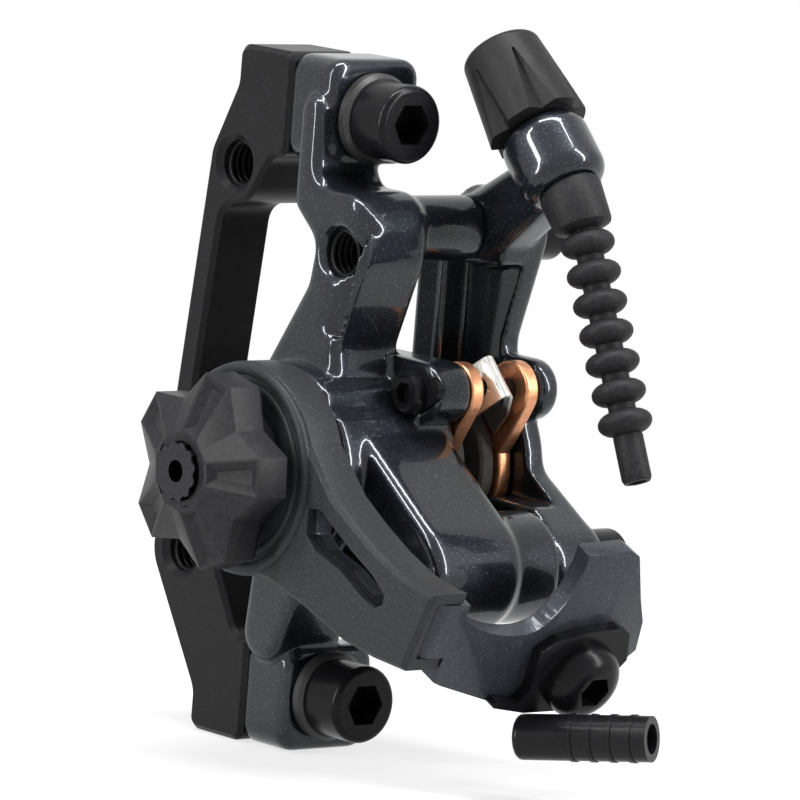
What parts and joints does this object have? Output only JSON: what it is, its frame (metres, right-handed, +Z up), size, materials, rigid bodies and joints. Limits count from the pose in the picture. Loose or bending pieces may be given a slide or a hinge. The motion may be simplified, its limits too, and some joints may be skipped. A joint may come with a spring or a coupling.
{
  "type": "bicycle disc brake caliper",
  "caption": "Cable-pulled bicycle disc brake caliper with a frame adaptor, a lever with cable clamp, a pad adjuster knob, a barrel adjuster and a ribbed cable boot.",
  "frame": {"origin": "middle of the adaptor's upper frame hole", "axes": "+X along the wheel axle from the pad adjuster knob to the fixed pad, +Y from the bolt heads to the wheel hub, +Z up"},
  "size_m": [0.0551, 0.0787, 0.094],
  "materials": {
    "forged_black": "satin black coating",
    "cast_grey": "gloss dark grey metallic paint",
    "lever_grey": "satin dark grey paint",
    "black_steel": "black oxide, semi-gloss",
    "washer_black": "satin black",
    "copper_plate": "copper-coloured plating",
    "friction": "sintered friction compound",
    "spring_steel": "bright",
    "hard_steel": "ground",
    "piston_alloy": "dark anodised",
    "barrel_alloy": "black anodised",
    "rubber_black": "matte",
    "knob_plastic": "satin moulded",
    "bush_plastic": "moulded",
    "sleeve_plastic": "semi-gloss"
  },
  "bodies": {
    "body": {"adaptor_bracket": "forged_black", "body_outer": "cast_grey", "body_inner": "cast_grey", "post_mount_bolts": "black_steel", "post_mount_washers": "washer_black", "joining_bolts": "black_steel", "pad_pin": "black_steel", "pin_clip": "black_steel", "inner_anvil": "black_steel", "inner_pad_plate": "copper_plate", "inner_pad_lining": "friction", "pad_spring": "spring_steel", "ramp_plate": "hard_steel", "ramp_balls": "hard_steel", "piston_seal": "rubber_black", "return_spring": "spring_steel", "cable_boot": "rubber_black"},
    "lever": {"lever_arm": "lever_grey", "lever_cover": "lever_grey", "lever_bush": "bush_plastic", "dust_seal": "rubber_black", "drive_cam": "hard_steel", "clamp_plate": "black_steel", "clamp_bolt": "black_steel", "cable_end_sleeve": "sleeve_plastic"},
    "adjuster": {"adjuster_knob": "knob_plastic", "adjuster_cap": "black_steel"},
    "screw": {"adjusting_screw": "black_steel"},
    "pad_carrier": {"thrust_washer": "hard_steel", "piston": "piston_alloy", "outer_pad_plate": "copper_plate", "outer_pad_lining": "friction"},
    "barrel_feed": {"barrel_ring": "rubber_black"},
    "barrel": {"adjuster_barrel": "barrel_alloy", "barrel_knob": "knob_plastic"}
  },
  "joints": [
    {"name": "lever_pivot", "type": "hinge", "parent": "body", "child": "lever", "pos_m": [0, -0.0191, -0.0361], "axis": [-1, 0, 0], "range_deg": [0, 20], "stiffness_Nm_per_rad": 0.35, "springref_deg": -20.05, "deforming": ["return_spring", "cable_boot"]},
    {"name": "knob_turn", "type": "hinge", "parent": "body", "child": "adjuster", "pos_m": [0, -0.0191, -0.0361], "axis": [-1, 0, 0], "range_deg": [0, 360]},
    {"name": "screw_feed", "type": "slide", "parent": "body", "child": "screw", "axis": [1, 0, 0], "range_m": [0, 0.001]},
    {"name": "pad_press", "type": "slide", "parent": "screw", "child": "pad_carrier", "axis": [1, 0, 0], "range_m": [0, 0.0015], "deforming": ["pad_spring"]},
    {"name": "barrel_slide", "type": "slide", "parent": "body", "child": "barrel_feed", "axis": [0, 0.6947, 0.7193], "range_m": [0, 0.003]},
    {"name": "barrel_turn", "type": "hinge", "parent": "barrel_feed", "child": "barrel", "pos_m": [0.015, -0.03095, 0.01229], "axis": [0, 0.6947, 0.7193], "range_deg": [0, 1080]}
  ],
  "couplings": [
    {"joint": "knob_turn", "follows": "screw_feed", "rad_per_m": 6283.2},
    {"joint": "pad_press", "follows": "lever_pivot", "m_per_rad": 0.0042972},
    {"joint": "barrel_turn", "follows": "barrel_slide", "rad_per_m": 6283.2}
  ]
}
